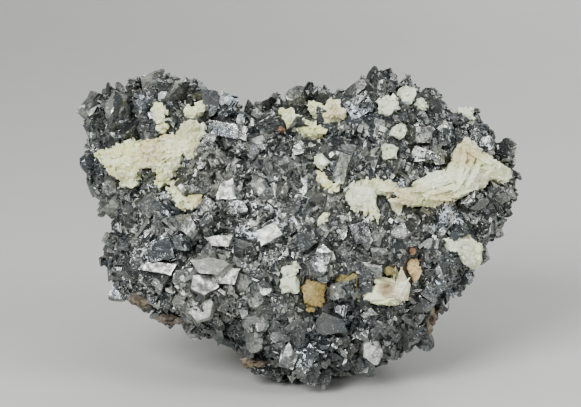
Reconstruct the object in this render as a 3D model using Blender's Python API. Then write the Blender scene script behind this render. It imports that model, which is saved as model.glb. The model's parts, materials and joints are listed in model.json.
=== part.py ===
"""Valentinite specimen: cream valentinite crusts and blocks on a lump of grey metallic crystals.

The lump is drawn in the plane that the eye sees, with u to the right, v up and w going away,
and is then leaned back and stood on the floor. Lengths are in metres and +Z is up.
"""

import math
import random

import bmesh
import bpy
from mathutils import Euler, Matrix, Vector, noise
from mathutils.bvhtree import BVHTree
from mathutils.geometry import delaunay_2d_cdt

MM = 0.001

# How the drawing plane lies in the room
PIXEL = 0.25 * MM            # real size of one picture pixel on the specimen, about 110 mm for 438 pixels
TIP_PX = (322.0, 383.5)      # lowest front tip, where u and v are zero
VIEW_TILT = math.radians(14.0)   # the eye looks down by this much
LEAN = math.radians(8.0)         # the face leans back by this much more than the eye's plane

# The lump under the crystals
CENTRE_PX = (298.0, 224.0)
FRONT_DEPTH = 20.0 * MM
BACK_DEPTH = 27.0 * MM
SQUARENESS = 2.7             # 2 is an ellipsoid, and more gives a flatter face with fuller edges
RIM_INSET = 1.7 * MM         # the crystals stand out of the lump by about this much
LUMP_RELIEF = 1.7 * MM       # height of the broad swellings of the face
LUMP_WAVE = 15.0 * MM        # their spacing

# The foot that the specimen stands on, an egg with its narrow end to the front
FOOT_CENTRE = (-3.0 * MM, 21.0 * MM, 20.0 * MM)
FOOT_RADII = (23.0 * MM, 20.0 * MM, 26.0 * MM)
FOOT_NARROWING = 0.4         # share of the width that is lost at the front end

# The host rock behind and below the crystals
SEAM_DEPTH = 8.0 * MM        # how far behind the drawing plane the host rock begins
SEAM_RELIEF = 2.5 * MM
HOST_INSET = 3.4 * MM        # the rock's edge lies inside the crystals' edge by this much
HOST_SHOWS = 3.6 * MM        # how far the crystals draw back where the rock shows below them
HOST_RELIEF = 1.4 * MM       # height of the rock's own lumps
HOST_WAVE = 8.0 * MM
HOST_SHOWS_PX = (            # where the rock comes forward and out below the crystals: place, reach in pixels
    (146.0, 311.0, 24.0),
    (174.0, 322.0, 20.0),
    (240.0, 358.0, 24.0),
    (446.0, 320.0, 28.0),
)
GAP = 0.3 * MM               # between neighbouring solids

# The crystals of the mass: small faces all over the lump, and coarse crystals that stand out of them
CRYSTAL_SEED = 12
FACET_RELIEF = 1.0 * MM
CRYSTAL_SPACING = 6.3 * MM
CRYSTAL_SIZES = (4.4 * MM, 8.4 * MM)
CRYSTAL_TRIES = 9000

# The crusts
CRUST_ROOT = 1.6 * MM        # how deep a crust reaches below the lump's surface
CRUST_LIFT = 1.7 * MM        # height of a crust's edge over the lump's surface
CRUST_GRID = 2.0 * MM        # spacing of the points on a crust's face

# The edge of the specimen, clockwise from its upper left corner, in picture pixels
OUTLINE_PX = (
    (79, 107), (84, 94), (91, 89), (110, 85), (130, 84), (144, 84), (155, 76), (167, 76),
    (178, 81), (192, 83), (204, 89), (216, 99), (231, 102), (244, 106), (254, 109), (264, 107),
    (276, 100), (288, 93), (302, 91), (314, 86), (326, 89), (337, 91), (348, 86), (361, 78),
    (377, 74), (394, 75), (409, 79), (426, 84), (440, 90), (453, 100), (462, 109), (472, 114),
    (488, 123), (501, 134), (511, 146), (516, 166), (519, 185), (517, 203), (510, 217),
    (504, 231), (495, 246), (484, 261), (470, 278), (458, 292), (448, 300), (446, 313),
    (440, 331), (424, 346), (406, 353), (384, 358), (366, 367), (345, 378), (326, 384),
    (308, 381), (283, 377), (262, 370), (241, 359), (222, 345), (207, 335), (192, 327),
    (170, 324), (152, 319), (138, 306), (118, 296), (106, 284), (102, 270), (107, 258),
    (112, 246), (110, 229), (104, 212), (94, 200), (86, 182), (83, 163), (82, 145), (81, 126),
)

# Crusts: name, material, height over the edge in mm, outline in picture pixels
CRUSTS = (
    ("valentinite_crust_left", "valentinite", 1.5, (
        (99, 152), (109, 151), (123, 147), (134, 142), (144, 144), (155, 141), (168, 138),
        (178, 139), (180, 131), (184, 125), (192, 125), (204, 130), (202, 137), (196, 139),
        (198, 146), (201, 151), (197, 157), (190, 155), (182, 156), (179, 166), (174, 174),
        (168, 183), (158, 185), (160, 173), (153, 167), (140, 169), (137, 185), (130, 186),
        (122, 178), (112, 170), (104, 161))),
    ("valentinite_spray_left", "valentinite", 1.1, (
        (179, 180), (185, 183), (190, 185), (187, 191), (187, 197), (191, 200), (197, 197),
        (201, 201), (200, 207), (192, 206), (182, 208), (178, 203), (174, 200), (170, 193),
        (172, 189), (175, 185))),
    ("valentinite_fleck_upper_left", "valentinite", 0.6, (
        (184, 118), (186, 112), (195, 109), (201, 106), (206, 110), (200, 115), (194, 119))),
    ("valentinite_patch_upper_left", "valentinite", 0.5, (
        (155, 106), (162, 107), (165, 114), (162, 122), (166, 127), (164, 133), (159, 131),
        (157, 124), (154, 115))),
    ("valentinite_crust_top_left", "valentinite", 1.0, (
        (282, 115), (292, 117), (303, 123), (313, 126), (314, 129), (322, 132), (322, 136),
        (313, 138), (303, 136), (295, 132), (287, 131), (285, 124))),
    ("valentinite_crust_top_right", "valentinite", 1.0, (
        (310, 106), (318, 109), (325, 110), (327, 105), (332, 103), (338, 106), (341, 111),
        (345, 115), (343, 118), (333, 120), (328, 121), (319, 119), (311, 115))),
    ("valentinite_crust_right", "valentinite", 1.8, (
        (348, 186), (356, 182), (368, 182), (375, 180), (384, 183), (394, 184), (402, 188),
        (416, 187), (419, 181), (426, 175), (441, 172), (449, 163), (449, 156), (455, 148),
        (463, 141), (469, 145), (480, 155), (492, 162), (503, 168), (506, 175), (502, 182),
        (497, 183), (491, 179), (485, 181), (481, 187), (470, 192), (460, 196), (450, 199),
        (439, 202), (429, 208), (418, 206), (409, 207), (400, 204), (395, 216), (390, 210),
        (387, 203), (383, 195), (374, 194), (372, 203), (376, 211), (375, 218), (369, 218),
        (366, 208), (360, 206), (352, 210), (347, 200))),
    ("valentinite_knob_lower_right", "valentinite", 1.4, (
        (442, 245), (450, 241), (458, 238), (466, 238), (471, 241), (477, 244), (476, 251),
        (479, 257), (474, 262), (469, 266), (461, 262), (457, 253), (451, 249), (445, 249))),
    ("valentinite_sheaf_lower", "valentinite", 1.5, (
        (360, 295), (367, 286), (374, 280), (380, 277), (386, 277), (390, 280), (394, 272),
        (397, 267), (401, 276), (405, 281), (404, 290), (403, 298), (398, 298), (393, 303),
        (383, 302), (373, 301), (363, 299))),
    ("valentinite_spray_middle", "valentinite", 0.6, (
        (317, 175), (322, 174), (325, 180), (331, 184), (338, 186), (337, 191), (328, 191),
        (321, 187), (317, 181))),
    ("valentinite_fleck_middle", "valentinite", 0.5, (
        (316, 225), (318, 217), (322, 212), (327, 214), (325, 219), (320, 224))),
    ("ochre_plate_middle", "ochre", 0.8, (
        (301, 286), (306, 280), (317, 280), (325, 284), (321, 292), (322, 299), (316, 303),
        (309, 303), (303, 297))),
    ("ochre_plate_small", "ochre", 0.5, (
        (334, 281), (343, 277), (351, 271), (355, 274), (354, 288), (346, 287), (336, 285))),
    ("ochre_knob_right", "ochre", 1.2, (
        (408, 257), (413, 262), (417, 269), (414, 276), (410, 280), (408, 273), (404, 268),
        (405, 261))),
)

# Blocky pale crystals: name, middle in picture pixels, width, height and depth in mm, turn in degrees
BLOCKS = (
    ("valentinite_block_1", (386.0, 108.0), (4.4, 4.0, 3.4), 12.0),
    ("valentinite_block_2", (404.0, 100.0), (3.0, 3.2, 3.0), -8.0),
    ("valentinite_block_3", (419.5, 109.0), (2.4, 2.3, 2.4), 30.0),
    ("valentinite_block_4", (464.5, 118.5), (3.9, 3.6, 3.4), -14.0),
    ("valentinite_block_5", (397.0, 134.0), (2.5, 3.0, 2.6), -35.0),
    ("valentinite_block_6", (387.0, 154.5), (3.2, 2.8, 2.8), 4.0),
    ("valentinite_block_7", (504.0, 153.0), (4.0, 2.3, 3.0), -28.0),
    ("valentinite_block_8", (319.5, 163.5), (3.0, 2.5, 2.6), -30.0),
    ("valentinite_block_9", (290.5, 267.5), (4.2, 1.8, 2.4), 34.0),
    ("valentinite_block_10", (289.0, 282.0), (3.4, 3.2, 2.6), 15.0),
)

FINISHES = {
    "galena": ((0.42, 0.43, 0.45, 1.0), 0.32, 1.0),
    "host_rock": ((0.30, 0.22, 0.14, 1.0), 0.9, 0.0),
    "valentinite": ((0.72, 0.68, 0.52, 1.0), 0.55, 0.0),
    "ochre": ((0.52, 0.36, 0.16, 1.0), 0.7, 0.0),
}


# Places

def in_plane(px, py):
    """Picture pixels to u and v in the drawing plane."""
    return (px - TIP_PX[0]) * PIXEL, (TIP_PX[1] - py) * PIXEL


def to_world(u, w, v):
    """A point of the drawing, w behind the leaning plane, as a place in the room."""
    depth = w + v * math.tan(LEAN)
    return Vector((
        u,
        depth * math.cos(VIEW_TILT) + v * math.sin(VIEW_TILT),
        v * math.cos(VIEW_TILT) - depth * math.sin(VIEW_TILT),
    ))


def from_world(point):
    """The u, w and v of a place in the room."""
    v = point.y * math.sin(VIEW_TILT) + point.z * math.cos(VIEW_TILT)
    depth = point.y * math.cos(VIEW_TILT) - point.z * math.sin(VIEW_TILT)
    return point.x, depth - v * math.tan(LEAN), v


LOOK = Vector((0.0, math.cos(VIEW_TILT), -math.sin(VIEW_TILT)))


# Scene and objects

def clear_scene():
    for obj in list(bpy.data.objects):
        bpy.data.objects.remove(obj)


def new_collection(name):
    collection = bpy.data.collections.new(name)
    bpy.context.scene.collection.children.link(collection)
    return collection


def new_material(name):
    colour, roughness, metallic = FINISHES[name]
    material = bpy.data.materials.new(name)
    material.use_nodes = True
    shader = material.node_tree.nodes["Principled BSDF"]
    shader.inputs["Base Color"].default_value = colour
    shader.inputs["Roughness"].default_value = roughness
    shader.inputs["Metallic"].default_value = metallic
    material.diffuse_color = colour
    return material


def add_object(name, bm, collection):
    """A new object from a bmesh, which is freed."""
    mesh = bpy.data.meshes.new(name)
    bmesh.ops.recalc_face_normals(bm, faces=bm.faces)
    bm.to_mesh(mesh)
    bm.free()
    obj = bpy.data.objects.new(name, mesh)
    collection.objects.link(obj)
    return obj


def make_cutter(obj):
    obj.hide_render = True
    obj.display_type = "WIRE"
    return obj


def apply_modifiers(obj):
    bpy.context.view_layer.update()
    graph = bpy.context.evaluated_depsgraph_get()
    mesh = bpy.data.meshes.new_from_object(obj.evaluated_get(graph))
    obj.modifiers.clear()
    obj.data = mesh


def combine(obj, other, operation, overlaps_itself=False):
    """Adds, cuts or keeps what obj shares with other, and applies it."""
    modifier = obj.modifiers.new(operation.lower(), "BOOLEAN")
    modifier.operation = operation
    modifier.object = other
    modifier.solver = "EXACT"
    modifier.use_self = overlaps_itself
    apply_modifiers(obj)


def drop_crumbs(obj):
    """Removes the small loose pieces that cutting has split off."""
    bm = bmesh.new()
    bm.from_mesh(obj.data)
    waiting = set(bm.faces)
    pieces = []
    while waiting:
        piece, front = [], [waiting.pop()]
        while front:
            face = front.pop()
            piece.append(face)
            for edge in face.edges:
                touching = waiting.intersection(edge.link_faces)
                waiting -= touching
                front.extend(touching)
        pieces.append(piece)
    pieces.sort(key=len)
    crumbs = [face for piece in pieces[:-1] for face in piece]
    bmesh.ops.delete(bm, geom=crumbs, context="FACES")
    bm.to_mesh(obj.data)
    bm.free()


# The lump

def rim_radius():
    """The distance from the centre to the edge, as a function of the angle."""
    centre = in_plane(*CENTRE_PX)
    corners = []
    for corner in OUTLINE_PX:
        u, v = in_plane(*corner)
        du, dv = u - centre[0], v - centre[1]
        corners.append((math.atan2(dv, du) % math.tau, math.hypot(du, dv)))
    corners.sort()
    first, last = corners[0], corners[-1]
    corners = [(last[0] - math.tau, last[1]), *corners, (first[0] + math.tau, first[1])]

    def radius(angle):
        angle %= math.tau
        for (a, ra), (b, rb) in zip(corners, corners[1:]):
            if a <= angle <= b:
                share = (angle - a) / max(b - a, 1e-9)
                return ra + (rb - ra) * share
        return first[1]

    return radius


def host_bulge(u, v):
    """1 where the host rock shows below the crystals, and 0 away from there."""
    most = 0.0
    for px, py, reach in HOST_SHOWS_PX:
        cu, cv = in_plane(px, py)
        away = math.hypot(u - cu, v - cv) / (reach * PIXEL)
        most = max(most, math.exp(-away * away))
    return most


def lump(name, collection, inset, inset_at_host, roughness=0.0, detail=4):
    """A rounded lump that fills the outline, less the inset, with broad swellings on its face."""
    radius = rim_radius()
    centre_u, centre_v = in_plane(*CENTRE_PX)
    bm = bmesh.new()
    bmesh.ops.create_icosphere(bm, subdivisions=detail, radius=1.0)
    for vert in bm.verts:
        across, away, up = vert.co
        angle = math.atan2(up, across)
        rim = math.hypot(across, up) ** (2.0 / SQUARENESS)
        depth = abs(away) ** (2.0 / SQUARENESS)
        edge = radius(angle)
        bulge = host_bulge(centre_u + edge * math.cos(angle), centre_v + edge * math.sin(angle))
        reach = edge - inset - (inset_at_host - inset) * bulge
        u = centre_u + reach * rim * math.cos(angle)
        v = centre_v + reach * rim * math.sin(angle)
        w = math.copysign(depth, away) * (BACK_DEPTH if away > 0 else FRONT_DEPTH)
        place = to_world(u, w, v)
        swell = noise.noise(place / LUMP_WAVE) + 0.5 * noise.noise(place / LUMP_WAVE * 2.3)
        w += math.copysign(LUMP_RELIEF * swell * depth, away)
        vert.co = to_world(u, w, v)
    roughen(bm, roughness)
    return add_object(name, bm, collection)


def roughen(bm, height):
    """Pushes the points in and out along their normals, as lumps of the host rock's size."""
    bm.normal_update()
    for vert in bm.verts:
        wave = vert.co / HOST_WAVE
        vert.co += vert.normal * height * (noise.noise(wave) + 0.6 * noise.noise(wave * 2.7))


def foot(collection):
    """The egg under the lump."""
    bm = bmesh.new()
    bmesh.ops.create_icosphere(bm, subdivisions=3, radius=1.0)
    for vert in bm.verts:
        narrow = 1.0 - FOOT_NARROWING * (1.0 - vert.co.y) / 2.0
        fullness = sum(abs(side) ** SQUARENESS for side in vert.co) ** (-1.0 / SQUARENESS)
        vert.co *= fullness
        vert.co.x *= narrow * FOOT_RADII[0]
        vert.co.y *= FOOT_RADII[1]
        vert.co.z *= FOOT_RADII[2]
        vert.co += Vector(FOOT_CENTRE)
    roughen(bm, HOST_RELIEF)
    return make_cutter(add_object("foot_form", bm, collection))


def floor_block(collection):
    """Everything below the surface that the specimen stands on."""
    size = 200.0 * MM
    bm = bmesh.new()
    bmesh.ops.create_cube(bm, size=size, matrix=Matrix.Translation((0, 0, -size / 2)))
    return make_cutter(add_object("floor_form", bm, collection))


def seam(u, v):
    """How far behind the drawing plane the host rock begins at this place of the drawing."""
    waves = noise.noise(Vector((u, v, 0.0)) / (14.0 * MM)) * SEAM_RELIEF
    return SEAM_DEPTH + waves - (SEAM_DEPTH + 2.0 * MM) * host_bulge(u, v)


def space_behind(name, shift, collection):
    """Everything behind the seam, moved back by shift."""
    half, thickness = 75.0 * MM, 90.0 * MM
    bm = bmesh.new()
    bmesh.ops.create_grid(bm, x_segments=28, y_segments=28, size=half)
    bmesh.ops.triangulate(bm, faces=bm.faces, quad_method="FIXED")
    sheet = bm.faces[:]
    middle_v = in_plane(*CENTRE_PX)[1]
    for vert in bm.verts:
        u, v = vert.co.x, vert.co.y + middle_v
        vert.co = to_world(u, seam(u, v) + shift, v)
    grown = bmesh.ops.extrude_face_region(bm, geom=sheet)["geom"]
    for vert in (g for g in grown if isinstance(g, bmesh.types.BMVert)):
        vert.co += LOOK * thickness
    return make_cutter(add_object(name, bm, collection))


# Crystals

def block_crystal(bm, rng, size, matrix):
    sides = Matrix.Diagonal((size, size * rng.uniform(0.7, 1.0), size * rng.uniform(0.6, 0.95), 1))
    bmesh.ops.create_cube(bm, size=1.0, matrix=matrix @ sides)


def plate_crystal(bm, rng, size, matrix):
    sides = Matrix.Diagonal((size * 1.15, size * rng.uniform(0.7, 1.0), size * 0.34, 1))
    bmesh.ops.create_cube(bm, size=1.0, matrix=matrix @ sides)


def wedge_crystal(bm, rng, size, matrix):
    bmesh.ops.create_cone(
        bm, cap_ends=True, segments=3, radius1=size * 0.72, radius2=size * rng.uniform(0.2, 0.4),
        depth=size * 0.7, matrix=matrix)


def hexagon_crystal(bm, rng, size, matrix):
    bmesh.ops.create_cone(
        bm, cap_ends=True, segments=6, radius1=size * 0.58, radius2=size * 0.5,
        depth=size * rng.uniform(0.35, 0.6), matrix=matrix)


CRYSTAL_KINDS = (block_crystal, block_crystal, plate_crystal, plate_crystal, wedge_crystal, hexagon_crystal)


def spread_points(obj, rng, spacing, tries, wanted):
    """Random places on obj that lie at least spacing apart, each with its normal."""
    obj.data.calc_loop_triangles()
    verts = obj.data.vertices
    triangles = [[verts[i].co for i in t.vertices] for t in obj.data.loop_triangles]
    areas = [(b - a).cross(c - a).length for a, b, c in triangles]
    found = []
    for a, b, c in rng.choices(triangles, weights=areas, k=tries):
        s, t = rng.random(), rng.random()
        if s + t > 1.0:
            s, t = 1.0 - s, 1.0 - t
        place = a + (b - a) * s + (c - a) * t
        if wanted(place) and all((place - p).length > spacing for p, _ in found):
            found.append((place, (b - a).cross(c - a).normalized()))
    return found


def crystal_cover(core, collection):
    """All the coarse crystals of the mass, as one mesh of shapes that run into each other."""
    rng = random.Random(CRYSTAL_SEED)

    def on_show(place):
        u, w, v = from_world(place)
        return w < seam(u, v) - 1.0 * MM

    bm = bmesh.new()
    for place, normal in spread_points(core, rng, CRYSTAL_SPACING, CRYSTAL_TRIES, on_show):
        size = rng.uniform(*CRYSTAL_SIZES) * rng.uniform(0.8, 1.0)
        turn = Euler([rng.uniform(0, math.tau) for _ in range(3)]).to_matrix().to_4x4()
        middle = place - normal * size * rng.uniform(0.02, 0.22)
        rng.choice(CRYSTAL_KINDS)(bm, rng, size, Matrix.Translation(middle) @ turn)
    return make_cutter(add_object("crystal_forms", bm, collection))


def break_into_faces(obj):
    """Shifts each point of the mass by a random amount, so that its face is all small crystal faces."""
    rng = random.Random(CRYSTAL_SEED)
    for vert in obj.data.vertices:
        away = [rng.uniform(-1.0, 1.0) for _ in range(3)]
        vert.co += vert.normal * rng.uniform(-1.0, 1.0) * FACET_RELIEF + Vector(away) * FACET_RELIEF * 0.5


# Crusts

def edge_distance(point, ring):
    """How far a point of the drawing lies from a ring of points."""
    nearest = math.inf
    for a, b in zip(ring, ring[1:] + ring[:1]):
        along = b - a
        share = max(0.0, min(1.0, (point - a).dot(along) / along.length_squared))
        nearest = min(nearest, (point - a - along * share).length)
    return nearest


def is_inside(point, ring):
    inside = False
    for a, b in zip(ring, ring[1:] + ring[:1]):
        if (a.y > point.y) != (b.y > point.y):
            crossing = a.x + (point.y - a.y) * (b.x - a.x) / (b.y - a.y)
            if point.x < crossing:
                inside = not inside
    return inside


def on_surface(surface, u, v):
    """The place and normal of the lump's face at a point of the drawing, or the nearest to it."""
    hit, normal, *_ = surface.ray_cast(to_world(u, -80.0 * MM, v), LOOK)
    if hit is None:
        hit, normal, *_ = surface.find_nearest(to_world(u, 0.0, v))
    return hit, normal


def crust(name, height, outline_px, surface, collection):
    """A lumpy crust over an outline of the drawing, rooted in the lump's surface."""
    ring = [Vector(in_plane(*corner)) for corner in outline_px]
    low_u, high_u = min(p.x for p in ring), max(p.x for p in ring)
    low_v, high_v = min(p.y for p in ring), max(p.y for p in ring)
    points = list(ring)
    for row in range(int((high_v - low_v) / CRUST_GRID) + 1):
        for column in range(int((high_u - low_u) / CRUST_GRID) + 1):
            shift = CRUST_GRID / 2 if row % 2 else 0.0
            point = Vector((low_u + column * CRUST_GRID + shift, low_v + row * CRUST_GRID))
            if is_inside(point, ring) and edge_distance(point, ring) > CRUST_GRID * 0.45:
                points.append(point)
    places, _, faces, *_ = delaunay_2d_cdt(points, [], [list(range(len(ring)))], 1, 1e-7)
    bm = bmesh.new()
    tops, roots = [], []
    for place in places:
        hit, normal = on_surface(surface, *place)
        inner = min(1.0, edge_distance(place, ring) / (CRUST_GRID * 1.3))
        bumps = 1.0 + 0.6 * noise.noise(Vector((place.x, place.y, 1.0)) / (2.6 * MM))
        rise = CRUST_LIFT + height * MM * math.sqrt(inner) * bumps
        tops.append(bm.verts.new(hit + normal * rise))
        roots.append(hit - normal * CRUST_ROOT)
    for face in faces:
        bm.faces.new([tops[i] for i in face])
    bm.verts.index_update()
    root_of = dict(zip(range(len(tops)), roots))
    sheet = bm.faces[:]
    order = {vert.co.copy().freeze(): root_of[vert.index] for vert in bm.verts}
    grown = bmesh.ops.extrude_face_region(bm, geom=sheet)["geom"]
    for vert in (g for g in grown if isinstance(g, bmesh.types.BMVert)):
        vert.co = order[vert.co.copy().freeze()]
    return add_object(name, bm, collection)


def pale_block(name, middle_px, sides_mm, turn, surface, collection):
    """A block half sunk in the mass, with its broad face towards the eye."""
    hit, normal = on_surface(surface, *in_plane(*middle_px))
    upright = (-LOOK * 0.5 + normal * 0.5).to_track_quat("Z", "Y").to_matrix().to_4x4()
    spin = Matrix.Rotation(math.radians(turn), 4, "Z")
    width, height, depth = (side * MM for side in sides_mm)
    bm = bmesh.new()
    bmesh.ops.create_cube(
        bm, size=1.0,
        matrix=Matrix.Translation(hit + normal * (CRUST_LIFT + 0.3 * MM - depth / 4)) @ upright @ spin
        @ Matrix.Diagonal((width, height, depth, 1)))
    bmesh.ops.bevel(bm, geom=bm.verts[:], offset=0.35 * MM, affect="VERTICES", segments=1)
    return add_object(name, bm, collection)


def pocket(obj, collection):
    """The space round a piece that its neighbour leaves free."""
    cutter = bpy.data.objects.new("pocket_" + obj.name, obj.data.copy())
    collection.objects.link(cutter)
    grow = cutter.modifiers.new("grow", "DISPLACE")
    grow.strength = GAP * 1.6
    grow.mid_level = 0.0
    apply_modifiers(cutter)
    return make_cutter(cutter)


# The specimen

def stand_on_origin(pieces, collection):
    """Parents the pieces to a base, and moves it so that the box's bottom middle is the origin."""
    corners = [vert.co for obj in pieces for vert in obj.data.vertices]
    low = Vector(min(c[i] for c in corners) for i in range(3))
    high = Vector(max(c[i] for c in corners) for i in range(3))
    base = bpy.data.objects.new("valentinite_specimen_base", None)
    collection.objects.link(base)
    for obj in pieces:
        middle = sum((vert.co for vert in obj.data.vertices), Vector()) / len(obj.data.vertices)
        obj.data.transform(Matrix.Translation(-middle))
        obj.location = middle
        obj.parent = base
    base.location = (-(low.x + high.x) / 2, -(low.y + high.y) / 2, -low.z)


def main():
    clear_scene()
    parts = new_collection("valentinite_specimen")
    forms = new_collection("cutters_and_forms")
    materials = {name: new_material(name) for name in FINISHES}

    floor = floor_block(forms)
    foot_form = foot(forms)

    host = lump("host_rock", parts, HOST_INSET, 0.3 * MM, HOST_RELIEF, detail=3)
    combine(host, foot_form, "UNION")
    combine(host, space_behind("behind_seam_host", GAP / 2, forms), "INTERSECT")
    combine(host, floor, "DIFFERENCE")

    smooth = make_cutter(lump("smooth_form", forms, RIM_INSET, HOST_SHOWS))
    surface = BVHTree.FromPolygons(
        [vert.co for vert in smooth.data.vertices], [p.vertices for p in smooth.data.polygons])
    crystals = crystal_cover(smooth, forms)

    mass = lump("galena_crystal_mass", parts, RIM_INSET, HOST_SHOWS, detail=3)
    break_into_faces(mass)
    combine(mass, foot_form, "UNION")
    combine(mass, crystals, "UNION", overlaps_itself=True)
    combine(mass, space_behind("behind_seam_mass", -GAP / 2, forms), "DIFFERENCE")
    combine(mass, floor, "DIFFERENCE")

    pale = []
    for name, finish, height, outline_px in CRUSTS:
        obj = crust(name, height, outline_px, surface, parts)
        obj.data.materials.append(materials[finish])
        pale.append(obj)
    for name, middle_px, sides_mm, turn in BLOCKS:
        obj = pale_block(name, middle_px, sides_mm, turn, surface, parts)
        obj.data.materials.append(materials["valentinite"])
        pale.append(obj)
    for obj in pale:
        combine(mass, pocket(obj, forms), "DIFFERENCE")
    drop_crumbs(mass)

    for obj, finish in ((host, "host_rock"), (mass, "galena")):
        obj.data.materials.clear()
        obj.data.materials.append(materials[finish])
    stand_on_origin([host, mass, *pale], parts)


main()
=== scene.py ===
"""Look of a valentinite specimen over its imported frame, as an add-on that also runs as a script."""

import functools
import json
import math
import random

import bmesh
import bpy
from bpy.props import FloatProperty, FloatVectorProperty, IntProperty, PointerProperty
from mathutils import Euler, Matrix, Vector, noise
from mathutils.bvhtree import BVHTree
from mathutils.kdtree import KDTree

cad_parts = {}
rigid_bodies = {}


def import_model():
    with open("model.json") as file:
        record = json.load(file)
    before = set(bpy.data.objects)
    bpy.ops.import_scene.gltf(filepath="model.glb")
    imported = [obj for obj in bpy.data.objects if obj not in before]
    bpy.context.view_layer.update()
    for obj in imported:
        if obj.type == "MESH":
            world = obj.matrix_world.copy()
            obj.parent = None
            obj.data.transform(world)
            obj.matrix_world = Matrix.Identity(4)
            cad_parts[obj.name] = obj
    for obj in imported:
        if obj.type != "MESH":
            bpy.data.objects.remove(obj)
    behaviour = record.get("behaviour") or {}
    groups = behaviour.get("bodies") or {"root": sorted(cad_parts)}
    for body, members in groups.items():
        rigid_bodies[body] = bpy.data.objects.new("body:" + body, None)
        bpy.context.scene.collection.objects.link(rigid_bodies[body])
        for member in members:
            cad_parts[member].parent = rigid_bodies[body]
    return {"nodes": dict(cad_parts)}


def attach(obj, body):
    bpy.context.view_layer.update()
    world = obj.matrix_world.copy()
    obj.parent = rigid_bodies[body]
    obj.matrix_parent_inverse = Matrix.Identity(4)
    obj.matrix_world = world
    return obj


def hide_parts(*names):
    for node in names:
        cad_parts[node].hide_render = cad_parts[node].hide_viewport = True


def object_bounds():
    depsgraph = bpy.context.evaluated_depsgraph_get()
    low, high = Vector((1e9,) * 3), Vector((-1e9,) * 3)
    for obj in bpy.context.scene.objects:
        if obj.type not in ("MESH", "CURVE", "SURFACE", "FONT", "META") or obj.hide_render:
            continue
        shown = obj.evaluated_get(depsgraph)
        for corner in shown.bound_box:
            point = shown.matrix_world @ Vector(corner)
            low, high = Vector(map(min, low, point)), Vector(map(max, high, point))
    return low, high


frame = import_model()

bl_info = {
    "name": "Valentinite specimen",
    "version": (1, 0, 0),
    "blender": (4, 5, 0),
    "location": "3D View > Sidebar > Specimen",
    "description": "Grows crystals, crusts and rock over the specimen's frame, and sets up its studio",
    "category": "Object",
}

MM = 0.001
WELD_DISTANCE = 0.002 * MM
MASS = "galena_crystal_mass"
ROCK = "host_rock"
CRUSTS = sorted(n for n in frame["nodes"] if n.startswith("valentinite") and "block" not in n)
BLOCKS = sorted(n for n in frame["nodes"] if n.startswith("valentinite_block"))
OCHRES = sorted(n for n in frame["nodes"] if n.startswith("ochre"))
SHEAF = ["valentinite_sheaf_lower"]
SMOOTH_CRUSTS = ["valentinite_crust_right", "valentinite_knob_lower_right"]
GRAINY_CRUSTS = [name for name in CRUSTS if name not in SMOOTH_CRUSTS + SHEAF]

# noise_vector takes its offsets from this seed, and from the time if none is set
noise.seed_set(3)

# Pieces reach out of the frame's box by this share of its size at most, and stay this far off the floor
BOX_SHARE = 0.025
FLOOR_GAP = 0.05 * MM
LOW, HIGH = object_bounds()
MARGIN = [BOX_SHARE * (high - low) for low, high in zip(LOW, HIGH)]
LEAST = (LOW[0] - MARGIN[0], LOW[1] - MARGIN[1], FLOOR_GAP)
MOST = [high + margin for high, margin in zip(HIGH, MARGIN)]

# Crystals leave this much free round the pale pieces, and grow no lower than this on the bed
PALE_GAP = 0.7 * MM
LOWEST_CRYSTAL = 0.4 * MM

# The camera, and the size of a picture pixel at its target
IMAGE_SIZE = (581, 407)
SENSOR = 36.0 * MM
LENS = 135.0 * MM
CAMERA_TILT = math.radians(14.0)
CAMERA_DISTANCE = 545.0 * MM
CAMERA_TARGET = Vector((-2.74, -9.61, 44.9)) * MM
LOOK = Vector((0.0, math.cos(CAMERA_TILT), -math.sin(CAMERA_TILT)))
UP = Vector((0.0, math.sin(CAMERA_TILT), math.cos(CAMERA_TILT)))
CAMERA_PLACE = CAMERA_TARGET - LOOK * CAMERA_DISTANCE
PIXEL = CAMERA_DISTANCE * SENSOR / LENS / IMAGE_SIZE[0]

# Studio lights: place and size in metres, and radiance
LIGHTS = (
    ("key", (-0.34, -0.52, 0.46), (0.36, 0.36), 12.0),
    ("right", (0.62, -0.30, 0.34), (0.26, 0.42), 6.6),
    ("back", (0.30, 0.75, 0.40), (0.5, 0.4), 2.0),
    ("top", (0.05, 0.0, 0.75), (0.5, 0.3), 1.0),
)
LIGHT_TARGET = Vector((0.0, 0.0, 0.04))
WORLD_COLOUR = (0.36, 0.36, 0.345, 1)

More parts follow.
